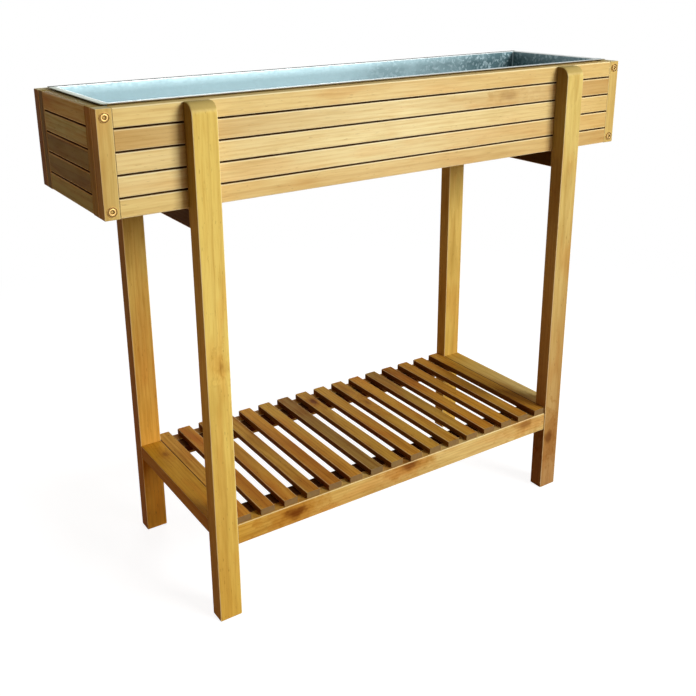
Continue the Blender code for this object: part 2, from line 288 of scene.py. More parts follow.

# %% [markdown]
# ## Acacia: painted shade on the sides
#
# Where two boards meet, and on some sides that lie in shade, the wood is painted dark brown.
# This is painted shade: the light that gets into the joints and onto these sides would leave
# them too light. Those sides face along the board's own Y. Each board says how dark its upper
# and lower sides are painted and which way is up. The darkness starts behind the rounded edge,
# unless the last number is above 1.

# %% Acacia: painted shade on the sides
SIDE_FROM, SIDE_FULL = 0.8, 0.98  # how squarely a side has to face up or down
DARKEST = 0.92

gaps = add(tree, "SeparateXYZ", {0: said["gaps"].outputs["Vector"]})
upward = add(tree, "Math", {0: facing.outputs["Y"], 1: gaps.outputs["Z"]}, operation="MULTIPLY")
above = add(tree, "MapRange", {0: upward, LOW: SIDE_FROM, HIGH: SIDE_FULL})
above = add(tree, "Math", {0: above, 1: gaps.outputs["X"]}, operation="MULTIPLY")
below = add(tree, "MapRange", {0: upward, LOW: -SIDE_FROM, HIGH: -SIDE_FULL})
painted_shade_mask = add(tree, "Math", {0: below, 1: gaps.outputs["Y"], 2: above}, operation="MULTIPLY_ADD")
painted_shade_mask = add(tree, "Math", {0: painted_shade_mask, 1: DARKEST}, operation="MULTIPLY")
print("sides go dark by up to", DARKEST)

# %% [markdown]
# ## Acacia: colour and sheen
#
# Now the tints go over the board's own tone, one by one. Most multiply what lies under them,
# as darker wood and oil do, so a pale board keeps its own hue. The oil leaves a satin sheen,
# smoother on the fibres' crests than in the pores, and duller on end grain. The photograph
# shows hardly a highlight, so the shine is turned well down. Pores and fibres are sunk a little.

# %% Acacia: colour and sheen
OIL_SHEEN = (0.5, 0.7)  # roughness of the fibres' crests and of the open pores
END_DULLER = 0.2
PORE_DEPTH = 0.25 * MM

tints += [
    (knot_halo, "MULTIPLY", "#E0C294"),
    (knot_core, "MULTIPLY", "#9C7460"),
    (end_mask, "MIX", said["end_tone"].outputs["Color"]),
    # a painted highlight, with some sanding wear, on the rounded long edges
    (edge_wear_and_highlight, "SCREEN", "#E0C896"),
    # painted shade on the sides that face a gap or lie in shade
    (painted_shade_mask, "MIX", "#5E3014"),
]
colour = said["tone"].outputs["Color"]
for mask, blend, tint in tints:
    mixed = {0: mask, MIX_A: colour, MIX_B: srgb(tint) if isinstance(tint, str) else tint}
    mixed = add(tree, "Mix", mixed, data_type="RGBA", blend_type=blend)
    colour = mixed.outputs[MIX_RESULT]
tree.links.new(colour, shader.inputs["Base Color"])

crest, pore = OIL_SHEEN
rough = add(tree, "MapRange", {0: masks["fibres"], HIGH: 0.45, TO_LOW: crest, TO_HIGH: pore})
rough = add(tree, "Math", {0: end_mask, 1: END_DULLER, 2: rough}, operation="MULTIPLY_ADD")
tree.links.new(rough.outputs[0], shader.inputs["Roughness"])
hollows = masks["fibres"]
for mask in (masks["pores"], ring_mask):
    hollows = add(tree, "Math", {0: hollows, 1: mask}, operation="ADD")
sunk = {"Height": hollows, "Strength": 0.35, "Distance": PORE_DEPTH}
sunk = add(tree, "Bump", sunk, invert=True)
tree.links.new(sunk.outputs[0], shader.inputs["Normal"])
shader.inputs["IOR"].default_value = 1.5  # wood under a thin coat of oil
shader.inputs["Specular IOR Level"].default_value = 0.01
print("acacia has", len(tree.nodes), "nodes")

# %% [markdown]
# ## Planed boards
#
# A planed board has its long edges rounded by a router or sandpaper to about 1.5 mm, and its
# sawn ends only just eased. A plain box has razor edges that catch no light. So each board
# starts as a box and has its edges rounded for real. Its own X axis runs along the grain,
# whichever way the board lies, so the wood follows.

# %% Board shape
LONG_ROUND = 1.5 * MM
END_ROUND = 0.5 * MM
ROUND_STEPS, BIG_ROUND_STEPS = 3, 14
SHARP = math.radians(50)
FLAT = 0.999  # how squarely a flat face faces one of the axes

AXES = {"x": Vector((1, 0, 0)), "y": Vector((0, 1, 0)), "z": Vector((0, 0, 1))}


def board_frame(low, high, grain, thin=None):
    """A board's place: X along the grain, Z through its thickness, and its size on these."""
    size = dict(zip("xyz", high - low))
    thin = thin or min((axis for axis in "xyz" if axis != grain), key=lambda axis: size[axis])
    wide = next(axis for axis in "xyz" if axis not in (grain, thin))
    along, through = AXES[grain], AXES[thin]
    turn = Matrix((along, through.cross(along), through)).transposed().to_4x4()
    return Matrix.Translation((low + high) / 2) @ turn, (size[grain], size[wide], size[thin])


def sharp_edges(bm, wanted=lambda edge: True):
    """The edges where two faces meet sharply."""
    shared = [e for e in bm.edges if len(e.link_faces) == 2]
    return [e for e in shared if e.calc_face_angle() > SHARP and wanted(e)]


def round_over(bm, edges, radius, steps=ROUND_STEPS):
    """Rounds some edges, as a router does."""
    bmesh.ops.bevel(bm, geom=edges, offset=radius, segments=steps, profile=0.5, affect="EDGES")


def board_shape(size, top_round, rounded):
    """A box along X with rounded edges. top_round, a radius and a side, rounds its far end.

    A ring of corners round its middle lets a tone change twice along the grain."""
    bm = bmesh.new()
    bmesh.ops.create_cube(bm, size=1.0)
    bmesh.ops.scale(bm, vec=Vector(size), verts=bm.verts)
    if top_round:
        radius, side = top_round
        top = [e for e in bm.edges if all(v.co.x > 0 and v.co.z * side > 0 for v in e.verts)]
        round_over(bm, top, radius, BIG_ROUND_STEPS)
        round_over(bm, sharp_edges(bm), rounded)
    else:
        half = size[0] / 2
        along = sharp_edges(bm, lambda e: abs(e.verts[0].co.x - e.verts[1].co.x) > half)
        round_over(bm, along, rounded)
        round_over(bm, sharp_edges(bm), END_ROUND)
    everything = [*bm.verts, *bm.edges, *bm.faces]
    bmesh.ops.bisect_plane(bm, geom=everything, plane_co=(0, 0, 0), plane_no=(1, 0, 0))
    for face in bm.faces:
        face.smooth = max(abs(part) for part in face.normal) < FLAT
    return bm


print("long edges rounded to", LONG_ROUND / MM, "mm, ends to", END_ROUND / MM, "mm")

# %% [markdown]
# ## From a shape to a piece
#
# A piece belongs to one moving body of the planter, the stand or the liner, and has one
# material. What a board tells its material is stored at each corner of its mesh, and Blender
# fades it from corner to corner. So a board can have up to three tones along its grain,
# without a picture being painted for it.


# %% Pieces
def piece(name, bm, material, body="stand", matrix=None):
    """Turns a bmesh into a piece that rides on a body and takes its finish from a slot."""
    mesh = bpy.data.meshes.new(name)
    bm.to_mesh(mesh)
    bm.free()
    mesh.materials.append(material)
    made = bpy.data.objects.new(name, mesh)
    bpy.context.scene.collection.objects.link(made)
    made.matrix_world = matrix or Matrix.Identity(4)
    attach(made, body)
    return made


def mark(mesh, name, kind, value):
    """Gives a mesh's corners a value, or a list of values, that the material reads by name."""
    layer = mesh.attributes.new(name, kind, "POINT")
    key = {"FLOAT": "value", "FLOAT_VECTOR": "vector", "FLOAT_COLOR": "color"}[kind]
    values = value if isinstance(value, list) else [value] * len(mesh.vertices)
    flat = values if kind == "FLOAT" else [part for one in values for part in one]
    layer.data.foreach_set(key, flat)


def fade(mesh, name, kind, stops):
    """Marks a board with one value, or with two or three that fade along its grain."""
    first, last = stops[0], stops[-1]
    mean = tuple((a + b) / 2 for a, b in zip(first, last))
    middle = stops[1] if len(stops) == 3 else mean
    places = (corner.co.x for corner in mesh.vertices)
    values = [middle if abs(x) < MM else last if x > 0 else first for x in places]
    mark(mesh, name, kind, values)


# %% [markdown]
# ## Which board gets which wood
#
# No two boards match. The trough's are pale sapwood, the legs golden, the slats redder and
# darker, and the trough's ends greyer. Some tones are set darker as painted shade: the trough's
# ends, the cross rails, the battens and the back rail, and the back left leg's foot is set
# paler as painted light. Tones drawn at random would miss the photograph's, so each board's are
# given by name, and its clear knots where they are seen.

# %% Tones and knots
TONES = {
    "straw": "#F2E4AD", "pale": "#F0DFA1", "honey": "#E6CF8A", "tan": "#CDAC6C",
    "sand": "#D3B970", "wheat": "#E2CF7E", "golden": "#E2C86C", "butter": "#EBD272",
    "biscuit": "#EAD498", "amber": "#DCB450", "fawn": "#C4AC60", "maize": "#DEC078",
    "hay": "#DCC07C", "caramel": "#CAA654", "marigold": "#EDA83A", "russet": "#B48C58",
    "nut": "#BC8A3E", "gilt": "#D2A444", "ember": "#D69C3A", "umber": "#A8843E",
    "walnut": "#523A16", "toast": "#D39F32", "bark": "#9A843E", "peat": "#766638",
    "reed": "#C6BC80", "driftwood": "#BEC692", "moss": "#8E8452", "lichen": "#AAAA70",
    "shade": "#63401F",
}
TROUGH_TONES = {  # from the left
    "1": ("honey", "biscuit", "honey"),
    "2": ("tan", "straw", "tan"),
    "3": ("pale", "straw", "hay"),
    "4": ("pale", "straw", "hay"),
    "5": ("honey", "biscuit", "tan"),
}
# The trough's ends and their uprights are greyer, and set darker as painted shade.
END_TONES = {"top": "reed", "2": "driftwood", "3": "moss", "4": "moss", "bottom": "lichen"}
UPRIGHT_TONES = {"front": ("bark", "bark", "umber"), "back": "peat"}
SHELF_TONES = {
    "shelf_end_board_left": "toast",
    "shelf_end_board_right": ("honey", "amber"),
    "shelf_rail_front": ("gilt", "maize", "honey"),
    # The back rail's darker tone is painted shade under the slats.
    "shelf_rail_back": "nut",
}
SLAT_TONES = (  # front and back of each slat, from the left
    "ember gilt  ember ember  ember gilt  gilt gilt  ember ember  ember gilt  umber umber  "
    "gilt gilt  ember gilt  gilt gilt  gilt ember  gilt umber  ember gilt  ember ember  "
    "gilt ember  gilt gilt"
).split()
END_GRAIN = "#B8A262"
STILE_ENDS = "#D8CFA4"  # sanded flush with the trough's top
SLAT_ENDS = "#7C6848"  # cut across and left to weather

KNOTS = {  # place in the world, radius in mm, strength
    "front_board_2": [((0.205, -0.125, 0.711), 8, 0.35)],
    "shelf_rail_front": [
        ((-0.210, -0.149, 0.135), 9, 0.9),
        ((0.005, -0.149, 0.144), 9, 0.8),
        ((0.255, -0.149, 0.141), 8, 0.6),
    ],
    "leg_front_right": [((0.318, -0.150, 0.100), 9, 0.7)],
    "leg_front_left": [((-0.318, -0.150, 0.400), 4, 0.4)],
    "shelf_slat_08": [((-0.020, 0.105, 0.160), 5, 0.9)],
    "shelf_slat_10": [((0.059, 0.045, 0.160), 6, 0.6)],
    "shelf_end_board_left": [((-0.318, 0.080, 0.160), 4, 0.5)],
}
print(len(TONES), "tones and", sum(map(len, KNOTS.values())), "knots")

# %% [markdown]
# ## A board in its place
#
# One function makes every board, from the box that it fills and the way its grain runs. A
# carpenter picks the face that looks best. Here chance is good enough, because tones and knots
# are chosen. A board's place in the log is drawn from its name, so it is the same in each run.


# %% Board maker
def timber(
    node, low, high, grain, wood, figured=0.6, name=None, top_round=None, gaps=(0, 0, 0),
    end_grain=END_GRAIN, rounded=LONG_ROUND, thin=None,
):
    """A planed board, for a CAD node if one is named. Its woods fade along the grain.

    One argument gives painted shade: how dark its upper and its lower side are, and which way is
    up."""
    matrix, size = board_frame(low, high, grain, thin)
    name = name or f"planed_{node}"
    made = piece(name, board_shape(size, top_round, rounded), acacia, matrix=matrix)
    draw = random.Random(made.name)
    pith = draw.uniform(30, 70) * MM
    angle = draw.uniform(0, 2 * math.pi)
    spot = (draw.uniform(-5, 5), pith * math.cos(angle), pith * math.sin(angle))
    mark(made.data, "log_place", "FLOAT_VECTOR", spot)
    woods = [wood] if isinstance(wood, str) else wood
    fade(made.data, "tone", "FLOAT_COLOR", [srgb(TONES[one]) for one in woods])
    fade(made.data, "gaps", "FLOAT_VECTOR", gaps if isinstance(gaps[0], tuple) else [gaps])
    mark(made.data, "end_tone", "FLOAT_COLOR", srgb(end_grain))
    mark(made.data, "figure", "FLOAT", figured)
    knots = KNOTS.get(node, [])
    for number, slot in enumerate(KNOT_SLOTS):
        at, radius, strength = knots[number] if number < len(knots) else (made.location, 1, 0)
        spot = matrix.inverted() @ Vector(at)
        mark(made.data, slot, "FLOAT_COLOR", (spot.x, spot.y, radius * MM, strength))
    if node:
        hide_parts(node)
    return made


def between(node, axis, low_limit, high_limit):
    """A node's box, cut along one axis to what lies between two neighbours."""
    low, high = (corner.copy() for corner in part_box(node))
    index = "xyz".index(axis)
    low[index], high[index] = low_limit, high_limit
    return low, high


corner_low, corner_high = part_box("front_stile_left")
stile_width = corner_high.x - corner_low.x
hairline = corner_low.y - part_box("leg_front_left")[1].y  # the fit between two pieces
print("uprights", round(stile_width / MM, 1), "mm wide, pieces fit to", round(hairline / MM, 2))

# %% [markdown]
# ## The trough's long sides
#
# Each long side is five boards between two corner uprights. Tongues hold the boards in the
# uprights, out of sight, so a scene piece is the board that shows: the CAD node's box, cut
# back to the faces of its neighbours. Where a board's side faces a gap, that side gets painted
# shade.

# %% Trough sides
# The trough's own top and underside get no painted shade.
LONG_SHADE = {"1": (0, 1, -1), "5": (1, 0, -1)}  # the trough's own top and underside stay clean
# The corner uprights' sides get painted shade too, darkest on the back ones.
STILE_SHADE = {  # how dark a corner upright's sides are, from the foot to the top
    "front": (0.45, 0.55, 0.2),
    "back": (0.9, 0.9, 0.8),
}
BOARD_ROUND = 2 * MM
FINE_ROUND = 0.8 * MM  # where a piece lies close to another

board_x = -corner_high.x - hairline
for side in ("front", "back"):
    for number, wood in TROUGH_TONES.items():
        node = f"{side}_board_{number}"
        timber(
            node, *between(node, "x", -board_x, board_x), "x", wood, figured=0.3,
            gaps=LONG_SHADE.get(number, (1, 1, -1)), rounded=BOARD_ROUND,
        )
    for end in ("left", "right"):
        node = f"{side}_stile_{end}"
        timber(
            node, *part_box(node), "z", "sand", figured=0.35, end_grain=STILE_ENDS, thin="y",
            rounded=FINE_ROUND, gaps=[(shade_share, shade_share, 1) for shade_share in STILE_SHADE[side]],
        )
print("boards", round(2 * board_x / MM, 1), "mm long")

# %% [markdown]
# ## The trough's ends
#
# The ends are framed in the same way. The CAD glues each end's two uprights, top board and
# bottom board into one solid. As one piece they would share one grain, so here they are four
# boards with real joints. The front upright stands for the solid in the frame.

# %% Trough ends
# Painted shade on the end boards' upper and lower sides.
END_SHADE = {"top": (0.45, 1, 1), "bottom": (1, 0, 1)}

window_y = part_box("left_end_frame")[1].y + hairline - stile_width
inner = window_y - hairline
for end in ("left", "right"):
    low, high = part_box(f"{end}_end_frame")
    second_low, second_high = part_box(f"{end}_end_board_2")
    row_gap = second_low.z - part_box(f"{end}_end_board_3")[1].z
    rows = {
        "top": (second_high.z + row_gap, high.z),
        "bottom": (low.z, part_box(f"{end}_end_board_4")[0].z - row_gap),
    }
    for side, y0, y1 in (("front", low.y, -window_y), ("back", window_y, high.y)):
        timber(
            f"{end}_end_frame" if side == "front" else None,
            Vector((low.x, y0, low.z)), Vector((high.x, y1, high.z)), "z",
            UPRIGHT_TONES[side], figured=0.3, name=f"{end}_end_upright_{side}",
        )
    for row, (z0, z1) in rows.items():
        timber(
            None, Vector((low.x, -inner, z0)), Vector((high.x, inner, z1)), "y", END_TONES[row],
            name=f"{end}_end_board_{row}", gaps=END_SHADE[row], rounded=BOARD_ROUND,
        )
    for number in "234":
        node = f"{end}_end_board_{number}"
        timber(
            node, *between(node, "y", -inner, inner), "y", END_TONES[number], figured=0.7,
            gaps=(1, 1, 1), rounded=BOARD_ROUND,
        )
print("end boards", round(2 * inner / MM, 1), "mm long")

# %% [markdown]
# ## Legs
#
# The legs are single lengths of 35 by 25 mm timber, with the outer top edge rounded over on a
# big radius so that nothing catches a sleeve. A router cuts that round in one pass, and one
# bevel makes it here. Their left faces are painted darker, most at the top: painted shade.

# %% Legs
LEG_ROUND = 16 * MM
# The second triple is painted shade on the left face.
LEGS = {  # its tones and how dark its left face is, both from the foot to the top
    "leg_front_left": (("amber", "butter", "golden"), (0.4, 0.15, 0.75)),
    "leg_front_right": (("russet", "wheat"), (0.3, 0.1, 0.75)),
    # The back left leg's bright foot tone is painted light, lifting the shade under the shelf.
    "leg_back_left": (("marigold", "caramel", "fawn"), (0.7, 0.5, 0.8)),
    "leg_back_right": (("amber", "wheat"), (0.3, 0.2, 0.75)),
}
leg_low, leg_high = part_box("leg_front_left")
for node, (wood, left_face_shade) in LEGS.items():
    outward = -1 if "front" in node else 1
    timber(
        node, *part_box(node), "z", wood, figured=0.45, top_round=(LEG_ROUND, outward),
        gaps=[(0, shade_share, 1) for shade_share in left_face_shade],
    )
print("legs", round((leg_high.z - leg_low.z) / MM), "mm high")

# %% [markdown]
# ## Rails and shelf
#
# Rails and the flat end boards of the shelf fit between the legs on hidden tenons, so they too
# are cut back to what shows. The slats lie across two battens on the insides of the rails. The
# outer slats lie close to an end board, where a big round would let light into the joint.

# %% Rails, end boards, slats and battens
DARK_EDGE = 4  # the darkness takes in the rounded edge as well
# The slats' sides are darkened by painted shade.
SLAT_SIDE_SHADE = 0.8  # oil and dust darken the slats' sides
SLAT_SHADE = {1: (SLAT_SIDE_SHADE, 1, -DARK_EDGE), 16: (SLAT_SIDE_SHADE, 1, DARK_EDGE)}

rail_x = -leg_high.x - hairline
tie_y = -leg_high.y - hairline
for end, joint in (("left", DARK_EDGE), ("right", -DARK_EDGE)):
    node = f"cross_rail_{end}"
    # The cross rails under the trough take a near-black tone: painted shade.
    timber(node, *between(node, "y", -tie_y, tie_y), "y", "walnut", figured=0.7)
    node = f"shelf_end_board_{end}"
    timber(
        node, *between(node, "y", -tie_y, tie_y), "y", SHELF_TONES[node], figured=0.5,
        gaps=(0.4, 1, joint), rounded=FINE_ROUND,
    )
for side in ("front", "back"):
    node = f"shelf_rail_{side}"
    timber(node, *between(node, "x", -rail_x, rail_x), "x", SHELF_TONES[node], figured=0.55)
    node = f"shelf_batten_{side}"
    # The battens under the slats take the darkest tone and dark sides: painted shade.
    timber(node, *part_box(node), "x", "shade", gaps=(1, 1, DARK_EDGE))
timber("floor_board", *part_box("floor_board"), "x", "nut")
for number in range(1, 17):
    node = f"shelf_slat_{number:02d}"
    timber(
        node, *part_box(node), "y", SLAT_TONES[2 * number - 2 : 2 * number], figured=0.8,
        gaps=SLAT_SHADE.get(number, (SLAT_SIDE_SHADE, 0.6, 1)), end_grain=SLAT_ENDS,
        rounded=FINE_ROUND if number in SLAT_SHADE else LONG_ROUND,
    )
print("slats:", number)

# %% [markdown]
# ## Yellow-plated steel
#
# Eight furniture bolts hold the corners. They are steel, plated with yellow-passivated zinc,
# which gives the eye a brassy gold with a faint green and pink shimmer. Plain gold would be
# too even, so slow noise clouds it. Two dark rings are painted shade, in the head's groove and
# in its socket. At this size the real shadow alone would lose these dark outlines.

# %% Bolt finish
PLATING_CLOUD = 4 * MM
# mm from the middle: (from, full, full until, gone)
GROOVE_SHADE_RINGS = ((0.8, 1.3, 2.5, 2.8), (4.5, 4.8, 6.0, 6.25))

plated, tree, shader = new_material("yellow zinc-plated steel")
place = add(tree, "TexCoord").outputs["Object"]
clouds = add(tree, "TexNoise", {"Vector": place, "Scale": 1 / PLATING_CLOUD, "Detail": 2.0})
away = add(tree, "VectorMath", {0: place, 1: (1, 1, 0)}, operation="MULTIPLY")
away = add(tree, "VectorMath", {0: away}, operation="LENGTH").outputs["Value"]
rings = []
for start, full, until, gone in GROOVE_SHADE_RINGS:
    rise = add(tree, "MapRange", {0: away, LOW: start * MM, HIGH: full * MM})
    fall = add(tree, "MapRange", {0: away, LOW: gone * MM, HIGH: until * MM, TO_HIGH: 0.95})
    rings.append(add(tree, "Math", {0: rise, 1: fall}, operation="MULTIPLY"))
groove_shade = add(tree, "Math", dict(enumerate(rings)), operation="ADD")
plating = srgb("#E2BC7A")
# the second tint is painted shade in the groove and the socket
for mask, tint in ((clouds, "#D0A85E"), (groove_shade, "#64440A")):
    mixed = add(tree, "Mix", {0: mask, MIX_A: plating, MIX_B: srgb(tint)}, data_type="RGBA")
    plating = mixed.outputs[MIX_RESULT]
tree.links.new(plating, shader.inputs["Base Color"])
worn = add(tree, "MapRange", {0: clouds, TO_LOW: 0.34, TO_HIGH: 0.5})
tree.links.new(worn.outputs[0], shader.inputs["Roughness"])
shader.inputs["Metallic"].default_value = 0.7  # the plating is a thin, slightly milky film
print("plating clouds", PLATING_CLOUD / MM, "mm across")

# %% [markdown]
# ## Bolt heads
#
# A furniture bolt has a wide flat head with a hexagon socket. It is turned, so it is drawn as
# a profile and spun: a rounded rim, a shallow groove and a raised ring round the mouth. The
# socket is a real six-sided hole, which a spun profile can't give, so its points are drawn in
# to a hexagon.

# %% Bolt heads
AROUND = 48
SIDE_ANGLE = math.radians(60)
SOCKET = 2.5  # mm from the middle to one of its six flats
SOCKET_DEPTH = 1.4  # mm, and so are the next two
HEAD_THICK = 2.2
SHANK = 3


def bolt_profile(radius, length):
    """In mm: (distance from the middle, height, 1 where it is drawn in to the hexagon)"""
    mouth = SOCKET + 0.35
    return [
        (0.4, -SOCKET_DEPTH - 0.25, 0),
        (SOCKET - 0.7, -SOCKET_DEPTH, 1),
        (SOCKET, -SOCKET_DEPTH, 1),
        (SOCKET, -0.35, 1),
        (mouth, -0.08, 0),
        (mouth + 0.4, 0, 0),
        (radius - 2.0, -0.04, 0),
        (radius - 1.75, -0.16, 0),  # into the groove
        (radius - 1.6, -0.6, 0),
        (radius - 0.55, -0.65, 0),
        (radius - 0.4, -0.3, 0),  # and out of it
        (radius - 0.1, -0.35, 0),
        (radius, -0.55, 0),
        (radius, -HEAD_THICK + 0.15, 0),
        (radius - 0.2, -HEAD_THICK, 0),
        (SHANK, -HEAD_THICK, 0),
        (SHANK, -length + 0.6, 0),
        (SHANK - 0.5, -length, 0),
    ]


def skin(bm, loops):
    """Joins rings of points into one closed skin, and marks its sharp edges."""
    for inner, outer in zip(loops, loops[1:]):
        for i, point in enumerate(inner):
            j = (i + 1) % len(inner)
            bm.faces.new((point, outer[i], outer[j], inner[j]))
    bm.faces.new(loops[0])
    bm.faces.new(reversed(loops[-1]))
    bmesh.ops.recalc_face_normals(bm, faces=bm.faces)
    for face in bm.faces:
        face.smooth = True
    for edge in sharp_edges(bm):
        edge.smooth = False


def bolt_shape(radius, length):
    """A bolt along Z, its head's face at z = 0 and its shank below."""
    bm = bmesh.new()
    loops = []
    for distance, height, six in bolt_profile(radius / MM, length / MM):
        ring = []
        for step in range(AROUND):
            angle = 2 * math.pi * step / AROUND
            off_flat = (angle + SIDE_ANGLE / 2) % SIDE_ANGLE - SIDE_ANGLE / 2
            reach = distance / math.cos(off_flat) if six else distance
            at = Vector((reach * math.cos(angle), reach * math.sin(angle), height)) * MM
            ring.append(bm.verts.new(at))
        loops.append(ring)
    skin(bm, loops)
    return bm


for side, outward in (("front", -1), ("back", 1)):
    for end in ("left", "right"):
        for level in ("top", "bottom"):
            node = f"corner_bolt_{side}_{end}_{level}"
            low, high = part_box(node)
            face_y = low.y if outward < 0 else high.y
            head_radius = (high.x - low.x) / 2
            middle = (low + high) / 2
            spin = random.Random(node).uniform(0, SIDE_ANGLE)
            at = Matrix.Translation((middle.x, face_y, middle.z))
            at = at @ Matrix.Rotation(-RIGHT_ANGLE * outward, 4, "X")
            at = at @ Matrix.Rotation(spin, 4, "Z")
            shape = bolt_shape(head_radius, high.y - low.y)
            bolt = piece(f"plated_{node}", shape, plated, matrix=at)
            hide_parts(node)
print("bolt heads", round(2 * head_radius / MM, 1), "mm across")

# %% [markdown]
# ## Zinc-coated steel: the coat
#
# The liner is thin steel sheet, zinc-coated in a hot bath. As the zinc sets it forms crystals,
# the spangle, each a slightly different blue-grey. Plain grey noise would look like stone, so
# they are cells of a Voronoi pattern. The coat is painted from pale at the left end to dark at
# the right, a painted reflection of a room that is darker on that side, and slow noise makes
# the fade ragged. The end walls sit a little back along it.

# %% Zinc: the coat
SPANGLE = 4 * MM
WARP, WARP_REACH = 6 * MM, 3.5 * MM  # how fast and how far the crystals' sides wander
FADE_PATCH = 70 * MM
# The end walls sit this far back along the painted fade.
END_WALL_SHIFT = -0.13
DIM_FROM, DIM_FULL = 0.22, 0.70  # metres along the sheet, moved by the patches

zinc, tree, shader = new_material("hot-dip zinc-coated steel sheet")
place = add(tree, "TexCoord")
on_sheet = place.outputs["Object"]
warp = add(tree, "TexNoise", {"Vector": on_sheet, "Scale": 1 / WARP, "Detail": 2.0})
warped = {0: warp.outputs["Color"], 1: (WARP_REACH,) * 3, 2: on_sheet}
warped = add(tree, "VectorMath", warped, operation="MULTIPLY_ADD")
crystals = add(tree, "TexVoronoi", {"Vector": warped, "Scale": 1 / SPANGLE})
crystal = add(tree, "SeparateColor", {0: crystals.outputs["Color"]})
patches = {"Vector": on_sheet, "Scale": 1 / FADE_PATCH, "Detail": 4.0, "Roughness": 0.6}
patches = add(tree, "TexNoise", patches)
where = add(tree, "SeparateXYZ", {0: on_sheet})
fade_place = add(tree, "Math", {0: patches, 1: 0.5, 2: where}, operation="MULTIPLY_ADD")
facing = add(tree, "VectorMath", {0: place.outputs["Normal"]}, operation="ABSOLUTE")
facing = add(tree, "SeparateXYZ", {0: facing})
fade_place = add(tree, "Math", {0: facing, 1: END_WALL_SHIFT, 2: fade_place}, operation="MULTIPLY_ADD")
# thin is a painted reflection: the coat darkens towards the right end.
thin = add(tree, "MapRange", {0: fade_place, LOW: DIM_FROM, HIGH: DIM_FULL}, **SOFTLY)
# The brightest crystals get a painted glint, most where the painted fade is darkest.
glint = add(tree, "MapRange", {0: crystal, LOW: 0.55, TO_HIGH: 0.7})
glint_share = add(tree, "MapRange", {0: thin, TO_LOW: 0.25})
glint = add(tree, "Math", {0: glint, 1: glint_share}, operation="MULTIPLY")
print("spangle", SPANGLE / MM, "mm")

# %% [markdown]
# ## Zinc-coated steel: painted light and shade at the edges
#
# The edges carry painted light and shade. The corner folds get a painted highlight, and so does
# the top of the rim, except on the inner part of its front. The rim's back edge is painted dark
# and its left end greyer, a painted reflection, and both are rougher. The front hem gets a
# painted brown line, and the wall just under the front rim a pale brown, painted light where the
# rim's shadow falls. A face with a finish of its own would end in a hard line. So each zone is
# a mask that fades over a millimetre or so, measured from the liner's own outline.

# %% Zinc: painted light and shade at the edges
low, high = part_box("liner")
ZONES = {  # name: (axis, an edge, nothing this many mm from it, full at that many, strength)
    "rim top": ("Z", high.z, -1.3, -0.9, 0.8),
    "front strip": ("Y", low.y, 5.0, 4.0, 1),
    "not front": ("Y", low.y, 11, 12, 1),
    "back edge": ("Y", high.y, -8.2, -7.4, 1),
    "left rim": ("X", low.x, 8.6, 7.8, 0.7),
    "front edge": ("Y", low.y, 2.0, 1.4, 1),
    "outside": ("Y", low.y, 9.6, 9.3, 1),
    "under rim": ("Z", high.z, -1.2, -1.6, 1),
    "near rim": ("Z", high.z, -9, -5, 1),
}
zone = {}
for name, (axis, edge, none, full, most) in ZONES.items():
    mask = {0: where.outputs[axis], LOW: edge + none * MM, HIGH: edge + full * MM, TO_HIGH: most}
    zone[name] = add(tree, "MapRange", mask)
zone["upright"] = add(tree, "MapRange", {0: facing.outputs["Z"], LOW: 0.8, HIGH: 0.4})
for name, one, how, other in (
    ("brushed", "front strip", "MAXIMUM", "not front"),
    ("polished", "rim top", "MULTIPLY", "brushed"),
    ("hem", "front edge", "MULTIPLY", "upright"),
    ("stained", "outside", "MULTIPLY", "under rim"),
    ("stained", "stained", "MULTIPLY", "near rim"),
    ("dulled", "back edge", "MAXIMUM", "left rim"),
    ("bloomed", "back edge", "MAXIMUM", "stained"),
):
    zone[name] = add(tree, "Math", {0: zone[one], 1: zone[other]}, operation=how)
# In a corner's upright fold the sheet faces between X and Y, and there it gets a painted highlight.
fold = add(tree, "Math", {0: facing, 1: facing.outputs["Y"]}, operation="MULTIPLY")
fold = add(tree, "MapRange", {0: fold, LOW: 0.15, HIGH: 0.4, TO_HIGH: 0.8})
print("zones of painted light and shade:", ", ".join(zone))

# %% [markdown]
# ## Zinc-coated steel: colour and gloss
#
# Zinc is a metal, and a clean one mirrors the room. Weathering covers it with a bloom of oxide
# that is matt and not metallic. A layer of its own could stand for it, but the sheet is simply
# set a little over half metallic. Along the back edge, where shade is painted, it is neither
# metallic nor shiny, and under the front rim, where light is painted, it is not metallic.
# From crystal to crystal its roughness changes, and so, by a hair, does its level.

# %% Zinc: colour and gloss
coat = srgb("#AFCBD1")
for mask, tint in (
    # painted reflection: darker towards the right
    (thin, "#57757B"),
    (glint, "#C4DCE2"),
    # painted highlight on the corner folds
    (fold, "#D8E6E8"),
    # painted highlight on the rim's top
    (zone["polished"], "#F2F6F4"),
    # painted reflection: the left rim greyer
    (zone["left rim"], "#C4D0C0"),
    # painted shade: a dark line along the rim's back edge
    (zone["back edge"], "#343C3C"),
    # painted shade: a brown line on the front hem
    (zone["hem"], "#7A6844"),
    # painted light: a pale brown on the wall in the shadow under the front rim
    (zone["stained"], "#D8B060"),
):
    mixed = add(tree, "Mix", {0: mask, MIX_A: coat, MIX_B: srgb(tint)}, data_type="RGBA")
    coat = mixed.outputs[MIX_RESULT]
tree.links.new(coat, shader.inputs["Base Color"])
rough = add(tree, "MapRange", {0: crystal.outputs["Green"], TO_LOW: 0.42, TO_HIGH: 0.58})
height = {"Height": crystal.outputs["Blue"], "Strength": 0.12, "Distance": 0.2 * MM}
